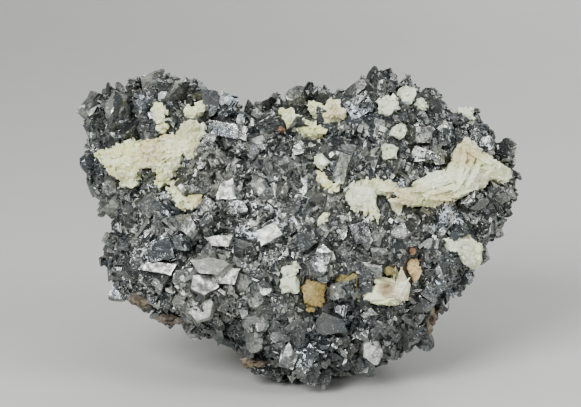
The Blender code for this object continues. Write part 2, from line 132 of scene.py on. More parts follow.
# Large crystals that can be told apart in the picture: middle in picture pixels, width and height in mm,
# turn in degrees, tilt right and down, corners, tone
# The tone sets each plate's colour from dark to bright metal, partly as painted reflection of plates that
# catch the light.
PLATES = (
    ((117, 112), (6.0, 8.6), 8, (0.45, 0.25), 5, 0.10),
    ((133, 132), (4.6, 4.4), 40, (0.35, 0.3), 4, 0.14),
    ((101, 122), (4.0, 4.6), -20, (0.1, 0.1), 5, 0.55),
    ((186, 92), (7.0, 4.2), 15, (0.3, 0.3), 5, 0.14),
    ((152, 84), (6.0, 3.6), -12, (0.1, 0.4), 5, 0.22),
    ((229, 132), (9.0, 3.6), -8, (0.1, 0.2), 4, 0.98),
    ((228, 190), (4.0, 3.9), 10, (-0.1, 0.2), 4, 0.95),
    ((218, 240), (6.2, 2.6), 6, (0.0, 0.25), 4, 0.92),
    ((210, 265), (9.6, 4.6), -10, (0.2, 0.15), 5, 0.82),
    ((228, 276), (8.4, 5.2), 18, (-0.1, 0.1), 5, 0.74),
    ((204, 284), (6.2, 5.4), -30, (0.1, -0.1), 5, 0.66),
    ((161, 249), (5.8, 5.4), 20, (-0.2, -0.2), 4, 0.16),
    ((160, 268), (7.2, 2.8), -6, (0.0, 0.35), 4, 0.72),
    ((261, 188), (4.2, 6.4), 8, (0.25, -0.2), 6, 0.12),
    ((344, 170), (3.9, 6.8), -6, (-0.2, 0.0), 4, 0.48),
    ((270, 232), (4.8, 3.8), 25, (0.1, 0.2), 4, 0.80),
    ((288, 355), (5.2, 6.0), -18, (0.1, -0.1), 5, 0.46),
    ((331, 322), (7.4, 6.6), 24, (-0.1, 0.1), 5, 0.42),
    ((371, 350), (8.2, 6.0), -28, (0.2, -0.2), 5, 0.44),
    ((312, 375), (4.4, 3.6), 60, (0.0, 0.1), 4, 0.70),
    ((91, 104), (3.2, 6.4), -6, (-0.5, 0.1), 4, 0.88),
    ((150, 205), (5.6, 4.6), 32, (0.2, 0.1), 4, 0.36),
    ((186, 225), (4.6, 5.4), -20, (0.1, 0.2), 5, 0.55),
    ((300, 150), (4.6, 3.8), 15, (-0.1, 0.2), 5, 0.78),
    ((250, 150), (4.2, 4.0), 42, (0.2, -0.1), 4, 0.25),
    ((420, 135), (4.8, 4.2), -14, (0.3, 0.1), 4, 0.38),
    ((446, 128), (4.2, 4.6), 25, (0.1, 0.2), 5, 0.84),
    ((360, 232), (4.4, 5.2), 14, (0.2, -0.1), 4, 0.30),
    ((402, 232), (5.0, 4.4), -22, (-0.2, 0.2), 5, 0.72),
    ((432, 290), (4.6, 4.0), 36, (0.2, 0.1), 4, 0.50),
    ((262, 322), (5.0, 4.4), -12, (0.1, 0.2), 5, 0.60),
    ((305, 240), (4.0, 4.6), 30, (-0.2, 0.1), 4, 0.34),
    ((180, 300), (4.2, 3.8), 8, (0.1, 0.3), 5, 0.52),
)

# Valentinite blades: both ends in picture pixels, and width in mm
BLADES = (
    ((359, 296), (380, 279), 1.5),
    ((360, 296), (388, 284), 1.4),
    ((359, 297), (391, 301), 1.7),
    ((361, 297), (390, 296), 1.1),
    ((374, 279), (393, 283), 1.4),
    ((397, 266), (392, 302), 1.5),
    ((398, 270), (403, 300), 1.6),
    ((396, 277), (398, 299), 1.8),
    ((405, 281), (392, 303), 1.2),
    ((349, 186), (350, 206), 1.6),
    ((354, 184), (355, 209), 1.7),
    ((360, 183), (361, 210), 1.8),
    ((366, 183), (368, 215), 1.8),
    ((372, 185), (373, 218), 1.4),
    ((378, 186), (392, 190), 1.9),
    ((390, 190), (412, 196), 2.4),
    ((394, 197), (416, 203), 1.8),
    ((418, 187), (446, 173), 2.4),
    ((420, 193), (452, 183), 2.4),
    ((425, 198), (456, 195), 1.6),
    ((450, 194), (478, 183), 2.4),
    ((456, 187), (468, 156), 2.6),
    ((464, 184), (476, 160), 2.2),
    ((468, 170), (504, 176), 2.6),
    ((462, 150), (486, 163), 2.4),
    ((444, 242), (460, 239), 1.7),
    ((458, 240), (474, 262), 2.8),
    ((464, 238), (478, 254), 2.6),
    ((100, 156), (122, 152), 1.5),
    ((140, 165), (155, 164), 1.2),
    ((173, 183), (186, 203), 1.5),
    ((186, 202), (199, 199), 1.5),
)

# Ochre bits that the frame hides or leaves out: middle in picture pixels, width and height in mm
OCHRE_BITS = (
    ((345, 280), (4.6, 3.2)),
    ((338, 283), (3.0, 2.4)),
    ((352, 275), (2.4, 3.4)),
    ((389, 271), (2.6, 1.8)),
    ((308, 304), (1.5, 1.6)),
    ((310, 309), (1.8, 1.4)),
    ((281, 130), (1.6, 1.4)),
    ((413, 251), (1.7, 1.4)),
)

# Lumps of rock that show under the rim: middle in picture pixels, width and height in mm
ROCK_PEEKS = (
    ((143, 309), (6.0, 3.6)),
    ((172, 319), (7.0, 2.2)),
    ((246, 360), (6.5, 3.0)),
    ((443, 318), (3.4, 8.0)),
)

# Zones of another colour: middle in picture pixels, and radius in mm
# The dark zones darken the crystals' colour: painted shade where the top and the lower rim get less
# light, and darker crystals in a few places.
DARK_AND_SHADE_ZONES = (((118, 112), 20.0), ((112, 262), 14.0), ((424, 306), 22.0), ((229, 347), 15.0),
              ((325, 92), 14.0), ((330, 345), 16.0), ((445, 100), 14.0), ((395, 82), 10.0),
              ((92, 170), 10.0), ((226, 98), 9.0))
TAN_ZONES = (((152, 150), 5.5), ((168, 136), 3.0), ((146, 166), 2.5), ((402, 196), 5.0),
             ((464, 154), 5.5), ((442, 197), 3.5), ((386, 289), 3.0), ((332, 111), 3.0),
             ((197, 201), 2.5))
WHITE_ZONES = (((360, 195), 5.0), ((432, 180), 5.0), ((474, 180), 5.0), ((460, 250), 7.0),
               ((397, 288), 4.0))
HOLLOW_ZONES = (((386, 289), 2.6), ((451, 162), 2.0), ((399, 196), 1.6), ((150, 178), 1.8))
PEACH_ZONES = (((409, 270), 6.5),)
RED_ZONES = (((281, 130), 4.5), ((413, 250), 3.8))
OLIVE_ZONES = (((388, 271), 5.0), ((345, 280), 7.0), ((186, 131), 4.5), ((194, 149), 3.0),
               ((122, 176), 3.5), ((175, 178), 3.0))


# Nodes

class Sock:
    """A node's output that takes part in sums, so that node maths is written as Python expressions."""

    def __init__(self, graph, socket):
        self.graph = graph
        self.socket = socket

    def _math(self, operation, first, second):
        return self.graph.math(operation, first, second)

    def __add__(self, other):
        return self._math("ADD", self, other)

    def __radd__(self, other):
        return self._math("ADD", other, self)

    def __sub__(self, other):
        return self._math("SUBTRACT", self, other)

    def __rsub__(self, other):
        return self._math("SUBTRACT", other, self)

    def __mul__(self, other):
        return self._math("MULTIPLY", self, other)

    def __rmul__(self, other):
        return self._math("MULTIPLY", other, self)

    def __pow__(self, other):
        return self._math("POWER", self, other)


class Graph:
    """A node tree that is filled through short calls."""

    def __init__(self, tree):
        self.tree = tree

    def add(self, kind, settings=None, inputs=None, output=0):
        """A new node with these settings and inputs. Returns one of its outputs."""
        node = self.tree.nodes.new(kind)
        for key, value in (settings or {}).items():
            setattr(node, key, value)
        for key, value in (inputs or {}).items():
            if isinstance(value, Sock):
                self.tree.links.new(value.socket, node.inputs[key])
            else:
                node.inputs[key].default_value = value
        return Sock(self, node.outputs[output])

    def mix(self, factor, first, second):
        """The first colour at factor 0, and the second at factor 1."""
        return self.add("ShaderNodeMix", {"data_type": "RGBA"}, {0: factor, 6: first, 7: second}, 2)

    def between(self, value, low, high, to_low=0.0, to_high=1.0):
        """Rises smoothly from to_low to to_high as value goes from low to high."""
        return self.add("ShaderNodeMapRange", {"interpolation_type": "SMOOTHSTEP"},
                        {0: value, 1: low, 2: high, 3: to_low, 4: to_high})

    def place(self):
        """The point's place on the object, in metres."""
        return self.add("ShaderNodeTexCoord", output="Object")

    def noise(self, scale, detail=3.0, roughness=0.55, vector=None):
        """Noise with scale features to the metre."""
        return self.add("ShaderNodeTexNoise", None, {
            "Vector": vector or self.place(), "Scale": scale, "Detail": detail,
            "Roughness": roughness})

    def attribute(self, name, output="Fac"):
        """What the mesh stores under this name."""
        return self.add("ShaderNodeAttribute", {"attribute_name": name}, output=output)

    def math(self, operation, first, second=0.0):
        """One step of node maths on two numbers or sockets."""
        return self.add("ShaderNodeMath", {"operation": operation}, {0: first, 1: second})

    def axes(self, vector):
        """The three parts of a vector, each without its sign."""
        parts = self.add("ShaderNodeSeparateXYZ", None, {0: vector}).socket.node.outputs
        return [self.math("ABSOLUTE", Sock(self, part)) for part in parts]

    def cracks(self, scale, width):
        """0 on thin lines between cells, 1 elsewhere."""
        edge = self.add("ShaderNodeTexVoronoi", {"feature": "DISTANCE_TO_EDGE"}, {
            "Vector": self.place(), "Scale": scale}, "Distance")
        return self.between(edge, 0.0, width)

    def stretched(self, vector, scale, shift=0.0):
        """The vector scaled along its axes and moved along all of them."""
        move = self.add("ShaderNodeCombineXYZ", None, {0: shift, 1: shift, 2: shift})
        return self.add("ShaderNodeVectorMath", {"operation": "MULTIPLY_ADD"},
                        {0: vector, 1: scale, 2: move})

    def facets(self, scale, lean, below=None):
        """A normal that leans another way in each cell, as broken crystal faces do."""
        cells = self.add("ShaderNodeTexVoronoi", None, {"Vector": self.place(), "Scale": scale}, "Color")
        centred = self.add("ShaderNodeVectorMath", {"operation": "SUBTRACT"},
                           {0: cells, 1: (0.5, 0.5, 0.5)})
        leaning = self.add("ShaderNodeVectorMath", {"operation": "SCALE"}, {0: centred, "Scale": lean})
        normal = below or self.add("ShaderNodeNewGeometry", output="Normal")
        summed = self.add("ShaderNodeVectorMath", {"operation": "ADD"}, {0: normal, 1: leaning})
        return self.add("ShaderNodeVectorMath", {"operation": "NORMALIZE"}, {0: summed})

    def zones(self, places):
        """1 in the middle of each zone, falling to 0 at its edge."""
        surface = tree_of(MASS, *CRUSTS)
        total = 0.0
        for pixel, radius in places:
            offset = self.add("ShaderNodeVectorMath", {"operation": "DISTANCE"}, {
                0: self.place(), 1: at_pixel(surface, *pixel)[0]}, "Value")
            share = self.between(offset, 0.4 * radius * MM, radius * MM, 1.0, 0.0)
            total = self.math("MAXIMUM", total, share)
        return total

    def bump(self, height, strength, distance, below=None):
        """The normal with relief on it, over the normal below if there is one."""
        inputs = {"Height": height, "Strength": strength, "Distance": distance}
        if below:
            inputs["Normal"] = below
        return self.add("ShaderNodeBump", None, inputs)


def new_material(name):
    """A fresh material, its graph, and the shader whose sockets are to be fed."""
    material = bpy.data.materials.new(name)
    material.use_nodes = True
    graph = Graph(material.node_tree)
    return material, graph, material.node_tree.nodes["Principled BSDF"]


def feed(graph, shader, **inputs):
    """Sets or links the shader's inputs. An underscore in a key stands for a space."""
    for key, value in inputs.items():
        socket = shader.inputs[key.replace("_", " ")]
        if isinstance(value, Sock):
            graph.tree.links.new(value.socket, socket)
        else:
            socket.default_value = value


# Materials

def galena_material(name, roughness, leaning):
    """Lead-grey metal whose tone changes from crystal to crystal and from face to face, partly at random
    and partly as painted reflection, with painted highlights on its edges, painted glints and painted
    shade in cracks.
    Roughness is how blotchy its faces are, and leaning is how far their small parts lean."""
    settings = bpy.context.scene.specimen
    material, graph, shader = new_material(name)
    tone, face = graph.attribute("tone"), graph.attribute("face_tone")
    form = graph.attribute("form", "Vector")
    x, y, z = graph.axes(form)
    largest = graph.math("MAXIMUM", graph.math("MAXIMUM", x, y), z)
    smallest = graph.math("MINIMUM", graph.math("MINIMUM", x, y), z)
    # The pale line along the forms' edges is a painted highlight, broken up by noise.
    highlight_breakup = graph.noise(1300.0, 3.0)
    edge = graph.between(x + y + z - largest - smallest + (highlight_breakup - 0.5) * 0.9, 0.88, 1.0)
    broken = graph.between(graph.math("FRACT", tone * 5.0), 0.15, 0.85, 0.15, 1.0) * roughness
    streaks = graph.noise(1.0, 3.0, vector=graph.stretched(form, (1.2, 10.0, 3.5), tone * 90.0))
    speckle_and_glints = graph.noise(1900.0, 4.0, 0.75)
    stain = graph.between(graph.noise(70.0, 4.0), 0.44, 0.66)
    dark = graph.mix(face, (*settings.galena_dark, 1), (0.24, 0.25, 0.245, 1))
    blue = graph.between(graph.noise(90.0, 2.0), 0.52, 0.62)
    dark = graph.mix(blue * 0.5, dark, (0.12, 0.143, 0.163, 1))
    bright = graph.mix(face, (0.40, 0.41, 0.39, 1), (*settings.galena_bright, 1))
    # The crystal's and the face's tone lighten or darken the colour: partly random, partly painted
    # reflection of faces that catch or miss the light.
    level = tone * 0.54 + face * 0.34 + (streaks - 0.5) * 1.1
    # The dark zones take the colour down: painted shade, and darker crystals in a few places.
    level = level + (speckle_and_glints - 0.5) * (broken * 2.3 + 0.9) - graph.zones(DARK_AND_SHADE_ZONES) * 0.42
    colour = graph.mix(graph.between(level, 0.13, 1.06), dark, bright)
    # Painted highlight on the edges.
    colour = graph.mix(edge * 0.45, colour, (0.90, 0.90, 0.86, 1))
    # Painted glints: near-white specks.
    colour = graph.mix(graph.between(speckle_and_glints, 0.59, 0.66) * 0.75, colour, (0.96, 0.96, 0.92, 1))
    colour = graph.mix(graph.between(speckle_and_glints, 0.40, 0.33) * broken * 0.6, colour, (0.05, 0.052, 0.05, 1))
    # Painted shade in the thin cracks between broken faces.
    lines = graph.cracks(430.0, 0.07) * 0.75 + 0.25
    colour = graph.mix((1.0 - lines) * broken * 0.5, colour, (0.03, 0.032, 0.03, 1))
    colour = graph.mix(stain * 0.22, colour, (0.20, 0.19, 0.145, 1))
    rough = graph.between(face + (streaks - 0.5) * 0.8, 0.0, 1.1, 0.15, 0.48)
    relief = graph.facets(900.0, broken * leaning)
    relief = graph.facets(330.0, broken * leaning * 0.5, relief)
    relief = graph.bump(streaks, 0.5, 0.12 * MM, relief)
    relief = graph.bump(speckle_and_glints, 0.55, 0.10 * MM, relief)
    feed(graph, shader, Base_Color=colour, Roughness=rough, Normal=relief, Metallic=0.8)
    return material


def valentinite_material(name, whiteness, pinkness, pit_shade_strength=0.45):
    """Cream crust with yellow and pinkish patches, fine upright fibres and painted shade in pits."""
    settings = bpy.context.scene.specimen
    material, graph, shader = new_material(name)
    tone = graph.attribute("tone")
    patch = graph.between(graph.noise(120.0, 3.0), 0.42, 0.62)
    elsewhere = graph.stretched(graph.place(), (1, 1, 1), 3.0)
    pink = graph.between(graph.noise(150.0, 2.0, vector=elsewhere), 0.49, 0.62)
    grain = graph.noise(1500.0, 4.0, 0.65)
    fibre = graph.noise(1.0, 4.0, vector=graph.stretched(graph.place(), (1500.0, 1500.0, 260.0)))
    body = graph.mix(patch, (*settings.crust_cream, 1), (*settings.crust_yellow, 1))
    body = graph.mix(whiteness, body, (0.66, 0.72, 0.58, 1))
    body = graph.mix(graph.zones(WHITE_ZONES) * 0.6, body, (0.83, 0.86, 0.77, 1))
    body = graph.mix(pink * pinkness, body, (0.66, 0.57, 0.43, 1))
    light = tone * 0.8 + (grain - 0.5) * 0.9 + (fibre - 0.5) * 0.7 + whiteness * 0.3
    light = graph.between(light, 0.15, 1.0)
    colour = graph.mix(light, body, (0.93, 0.97, 0.81, 1))
    colour = graph.mix(graph.zones(TAN_ZONES) * 0.6, colour, (0.67, 0.57, 0.37, 1))
    colour = graph.mix(graph.zones(OLIVE_ZONES) * 0.6, colour, (0.56, 0.54, 0.33, 1))
    # Painted shade: dark specks that stand for the shade in pits between grains.
    pit_shade = graph.between(graph.noise(620.0, 4.0, 0.7), 0.55, 0.70)
    colour = graph.mix(pit_shade * pit_shade_strength, colour, (0.25, 0.26, 0.23, 1))
    colour = graph.mix(graph.zones(HOLLOW_ZONES) * 0.75, colour, (0.30, 0.22, 0.12, 1))
    relief = graph.bump(fibre, 0.6, 0.20 * MM)
    relief = graph.bump(grain, 0.6, 0.20 * MM, relief)
    rough = graph.between(grain, 0.3, 0.7, 0.34, 0.68)
    feed(graph, shader, Base_Color=colour, Roughness=rough, Normal=relief)
    return material


def ochre_material():
    """Rusty tan oxide with a powdery surface, and painted shade in pits."""
    settings = bpy.context.scene.specimen
    material, graph, shader = new_material("ochre")
    patch = graph.between(graph.noise(260.0, 4.0), 0.38, 0.64)
    grain = graph.noise(1800.0, 4.0, 0.65)
    colour = graph.mix(patch, (*settings.ochre_colour, 1), (0.28, 0.21, 0.07, 1))
    colour = graph.mix(graph.zones(OLIVE_ZONES) * 0.8, colour, (0.24, 0.21, 0.09, 1))
    colour = graph.mix(graph.zones(PEACH_ZONES), colour, (0.68, 0.52, 0.30, 1))
    colour = graph.mix(graph.zones(RED_ZONES), colour, (0.24, 0.12, 0.09, 1))
    colour = graph.mix(graph.between(grain, 0.5, 0.75) * 0.6, colour, (0.62, 0.56, 0.41, 1))
    # Painted shade: dark specks for the shade in pits.
    pit_shade = graph.between(graph.noise(800.0, 4.0, 0.7), 0.52, 0.66)
    colour = graph.mix(pit_shade * 0.6, colour, (0.12, 0.10, 0.06, 1))
    relief = graph.bump(grain, 0.6, 0.18 * MM)
    rough = graph.between(grain, 0.3, 0.7, 0.55, 0.9)
    feed(graph, shader, Base_Color=colour, Roughness=rough, Normal=relief)
    return material


def rock_material(name, rustiness):
    """Earthy brown to grey host rock with painted shade in its cracks and hollows, and rusty and pale
    patches.
    """
    settings = bpy.context.scene.specimen
    material, graph, shader = new_material(name)
    height = graph.attribute("height")
    broad = graph.between(graph.noise(60.0, 4.0, 0.6) + height * 0.12, 0.40, 0.60)
    rust = graph.between(graph.noise(140.0, 5.0, 0.65), 0.52, 0.66)
    upright = graph.stretched(graph.place(), (1, 1, 2.2), 5.0)
    pale = graph.between(graph.noise(210.0, 5.0, 0.6, upright), 0.56, 0.66)
    grain = graph.noise(1300.0, 5.0, 0.7)
    flecks = graph.between(graph.noise(700.0, 3.0), 0.60, 0.66)
    colour = graph.mix(broad, (*settings.rock_colour, 1), (0.15, 0.14, 0.125, 1))
    colour = graph.mix(rust * 0.6 + rustiness * 0.25, colour, (0.33, 0.20, 0.09, 1))
    colour = graph.mix(pale * 0.6, colour, (0.42, 0.38, 0.30, 1))
    colour = graph.mix(graph.between(grain, 0.42, 0.78) * 0.55, colour, (0.47, 0.40, 0.29, 1))
    # Painted shade: the low places of the relief are darkened.
    colour = graph.mix(graph.between(height, -0.1, -0.8) * 0.75, colour, (0.05, 0.042, 0.033, 1))
    colour = graph.mix(flecks * 0.7, colour, (0.26, 0.27, 0.28, 1))
    relief = graph.bump(grain, 0.7, 0.35 * MM)
    relief = graph.bump(graph.noise(420.0, 4.0), 0.6, 0.9 * MM, relief)
    rough = graph.between(flecks + grain * 0.3, 0.1, 1.0, 0.88, 0.45)
    feed(graph, shader, Base_Color=colour, Roughness=rough, Normal=relief)
    return material


# Meshes

def node_copy(*names):
    """The CAD nodes' meshes welded into one bmesh."""
    bm = bmesh.new()
    for name in names:
        bm.from_mesh(frame["nodes"][name].data)
    bmesh.ops.remove_doubles(bm, verts=bm.verts, dist=WELD_DISTANCE)
    return bm


def divided(bm, longest, passes=3):
    """Splits the edges that are longer than this, and keeps the faces three-sided."""
    for _ in range(passes):
        long_edges = [edge for edge in bm.edges if edge.calc_length() > longest]
        bmesh.ops.subdivide_edges(bm, edges=long_edges, cuts=1)
        bmesh.ops.triangulate(bm, faces=[face for face in bm.faces if len(face.verts) > 3])
    return bm


def smoothed(bm, rounds):
    """Evens out the shape, a little more with each round."""
    for _ in range(rounds):
        bmesh.ops.smooth_vert(bm, verts=bm.verts, factor=0.5, use_axis_x=True, use_axis_y=True,
                              use_axis_z=True)
    return bm


def add_piece(name, bm, material=None):
    """Turns the bmesh into an object of that name."""
    mesh = bpy.data.meshes.new(name)
    bm.to_mesh(mesh)
    bm.free()
    if material:
        mesh.materials.append(material)
    obj = bpy.data.objects.new(name, mesh)
    bpy.context.scene.collection.objects.link(obj)
    return obj


def apply_modifiers(obj):
    """Gives the object the plain mesh that its modifiers make."""
    bpy.context.view_layer.update()
    graph = bpy.context.evaluated_depsgraph_get()
    mesh = bpy.data.meshes.new_from_object(obj.evaluated_get(graph))
    obj.modifiers.clear()
    obj.data = mesh


def keep_in_box(obj):
    """Keeps the piece above the floor, and its tips close to the frame's box."""
    for vert in obj.data.vertices:
        vert.co = [min(max(value, low), high) for value, low, high in zip(vert.co, LEAST, MOST)]


def finish_piece(obj, nodes=()):
    """Hands the piece to the frame. The nodes are those that it stands in for."""
    if not obj.data.polygons:
        raise RuntimeError(f"{obj.name} has no faces")
    obj.data.validate(clean_customdata=False)
    keep_in_box(obj)
    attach(obj, "root")
    if nodes:
        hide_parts(*nodes)


@functools.cache
def tree_of(*names):
    """A search tree of the CAD nodes' faces."""
    bm = node_copy(*names)
    tree = BVHTree.FromBMesh(bm)
    bm.free()
    return tree


def at_pixel(tree, px, py):
    """Where the camera's ray through a picture pixel meets the tree, and the normal there."""
    point = CAMERA_TARGET + Vector((1, 0, 0)) * (px - IMAGE_SIZE[0] / 2) * PIXEL
    point += UP * (IMAGE_SIZE[1] / 2 - py) * PIXEL
    hit, normal, *_ = tree.ray_cast(CAMERA_PLACE, (point - CAMERA_PLACE).normalized())
    if hit is None:
        hit, normal, *_ = tree.find_nearest(point)
    return hit, normal


def places_of(lumps, surface):
    """Each lump's place on the surface, the normal there, and its width and height."""
    return [(*at_pixel(surface, *pixel), width * MM, height * MM) for pixel, (width, height) in lumps]


def free_places():
    """A tree of the points that crystals leave free, and each one's radius."""
    surface = tree_of(MASS, *CRUSTS)
    places = [(place, 0.35 * max(sides)) for place, _, *sides in places_of(ROCK_PEEKS, surface)]
    places += [(place, 0.5 * max(sides)) for place, _, *sides in places_of(OCHRE_BITS, surface)]
    for first, second, width in BLADES:
        ends = [at_pixel(surface, *pixel)[0] for pixel in (first, second)]
        places += [(ends[0].lerp(ends[1], step / 4), 0.4 * width * MM) for step in range(5)]
    tree = KDTree(len(places))
    for number, (place, _) in enumerate(places):
        tree.insert(place, number)
    tree.balance()
    return tree, [radius for _, radius in places]


def mark_open_faces(obj, neighbours, clear=0.55 * MM, pale=()):
    """Stores on each face whether forms may grow there: 1, or 0 where a neighbour covers it or, if pale
    pieces are given, close to these and to the free places. Also stores each face's room, which is its
    distance to the nearest of these."""
    tree = tree_of(*neighbours)
    if pale:
        pale_tree = tree_of(*pale)
        free_tree, radii = free_places()
    values = []
    rooms = []
    for face in obj.data.polygons:
        covered = tree.find_nearest(face.center, clear)[0] or face.center.z < LOWEST_CRYSTAL
        room = 1.0
        if pale:
            _, number, gap = free_tree.find(face.center)
            room = min(pale_tree.find_nearest(face.center)[3], gap - radii[number])
        values.append(0.0 if covered or room < PALE_GAP else 1.0)
        rooms.append(room)
    store_faces(obj, "open", values)
    store_faces(obj, "room", rooms)


def bed_copy(name):
    """A copy of the crystal mass that is marked where crystals may grow."""
    obj = add_piece(name, divided(node_copy(MASS), 2.0 * MM))
    mark_open_faces(obj, [ROCK], pale=[*CRUSTS, *BLOCKS, *OCHRES])
    return obj


def store_faces(obj, name, values):
    """Stores one number for each face under this name."""
    obj.data.attributes.new(name, "FLOAT", "FACE").data.foreach_set("value", values)


# Crystal forms, each about one unit across

def block_form(bm, sides, cut):
    """A block with cut corners."""
    bmesh.ops.create_cube(bm, size=1.0, matrix=Matrix.Diagonal((*sides, 1)))
    bmesh.ops.bevel(bm, geom=bm.verts[:], offset=cut, affect="VERTICES", segments=1)


def plate_form(bm, corners, thick, taper):
    """A thick plate that narrows towards one face."""
    bmesh.ops.create_cone(bm, cap_ends=True, segments=corners, radius1=0.62, radius2=0.62 * taper,
                          depth=thick)


def skewed_form(bm, seed, sides, cut):
    """A block whose faces lean, as where crystals crowd each other."""
    rng = random.Random(seed)
    block_form(bm, sides, cut)
    lean = Matrix([[1.0 if i == j else rng.uniform(-0.4, 0.4) for j in range(3)] for i in range(3)])
    taper = rng.uniform(-0.35, 0.35)
    for vert in bm.verts:
        vert.co = lean @ vert.co
        vert.co.x *= 1.0 + taper * vert.co.z
        vert.co.y *= 1.0 - taper * vert.co.z


def stepped_form(bm):
    """Three blocks stepped up on each other."""
    for sides, place in (((1.0, 0.9, 0.4), (0, 0, 0)), ((0.72, 0.6, 0.36), (0.06, -0.08, 0.3)),
                         ((0.4, 0.42, 0.3), (0.12, 0.02, 0.55))):
        matrix = Matrix.Translation(place) @ Matrix.Diagonal((*sides, 1))
        bmesh.ops.create_cube(bm, size=1.0, matrix=matrix)


def shard_form(bm, seed, squash):
    """The hull of a few random points."""
    rng = random.Random(seed)
    for _ in range(9):
        bm.verts.new([rng.uniform(-0.5, 0.5), rng.uniform(-0.5, 0.5), rng.uniform(-0.5, 0.5) * squash])
    hull = bmesh.ops.convex_hull(bm, input=bm.verts)
    loose = [g for g in hull["geom_interior"] if isinstance(g, bmesh.types.BMVert)]
    bmesh.ops.delete(bm, geom=loose, context="VERTS")


def grain_form(bm, seed, fineness=1):
    """A lumpy ball."""
    bmesh.ops.create_icosphere(bm, subdivisions=fineness, radius=0.5)
    for vert in bm.verts:
        vert.co *= 1.0 + 0.5 * noise.noise(vert.co * 3.0 + Vector((seed, 0, 0)))


def add_form(bm, matrix, build, *arguments):
    """Adds a form to a bmesh that may hold others."""
    form = bmesh.new()
    build(form, *arguments)
    bmesh.ops.recalc_face_normals(form, faces=form.faces)
    form.transform(matrix)
    if matrix.determinant() < 0:
        bmesh.ops.reverse_faces(form, faces=form.faces)
    mesh = bpy.data.meshes.new("form")
    form.to_mesh(mesh)
    form.free()
    bm.from_mesh(mesh)
    bpy.data.meshes.remove(mesh)


def broken_height(place):
    """A height made of flat pieces that lean different ways, as on a fresh break."""
    centre = noise.voronoi(place)[1][0]
    return 4.5 * (place - centre).dot(noise.noise_vector(centre * 3.7 + Vector((5.0, 1.0, 9.0))))


def store_form(mesh):
    """Stores each point's place in the form, from -1 to 1 along each axis, for the material's streaks."""
    half = [max(abs(vert.co[axis]) for vert in mesh.vertices) for axis in range(3)]
    attribute = mesh.attributes.new("form", "FLOAT_VECTOR", "POINT")
    for vert in mesh.vertices:
        attribute.data[vert.index].vector = [vert.co[axis] / half[axis] for axis in range(3)]


def form_collection(name, builders):
    """A hidden collection of forms to scatter. Each builder is a function and its arguments."""
    collection = bpy.data.collections.new(name)
    bpy.context.scene.collection.children.link(collection)
    collection.hide_render = True
    for number, (build, *arguments) in enumerate(builders):
        bm = bmesh.new()
        build(bm, *arguments)
        bmesh.ops.recalc_face_normals(bm, faces=bm.faces)
        mesh = bpy.data.meshes.new(f"{name}_{number}")
        bm.to_mesh(mesh)
        bm.free()
        store_form(mesh)
        collection.objects.link(bpy.data.objects.new(mesh.name, mesh))
    return collection


def remove_collection(collection):
    """Removes a collection of forms and all that is in it."""
    for obj in list(collection.objects):
        bpy.data.objects.remove(obj)
    bpy.data.collections.remove(collection)


# Geometry nodes

# Points to the square metre, before the spacing thins them out
POINT_DENSITY = 3e6

SCATTER_INPUTS = (
    ("Geometry", "NodeSocketGeometry"),
    ("Forms", "NodeSocketCollection"),
    ("Spacing", "NodeSocketFloat"),
    ("Smallest", "NodeSocketFloat"),
    ("Largest", "NodeSocketFloat"),
    ("Rarity", "NodeSocketFloat"),
    ("Sinking", "NodeSocketFloat"),
    ("Lean", "NodeSocketFloat"),
    ("Sides", "NodeSocketFloat"),
    ("Height", "NodeSocketFloat"),
    ("Seed", "NodeSocketInt"),
    ("Material", "NodeSocketMaterial"),
)


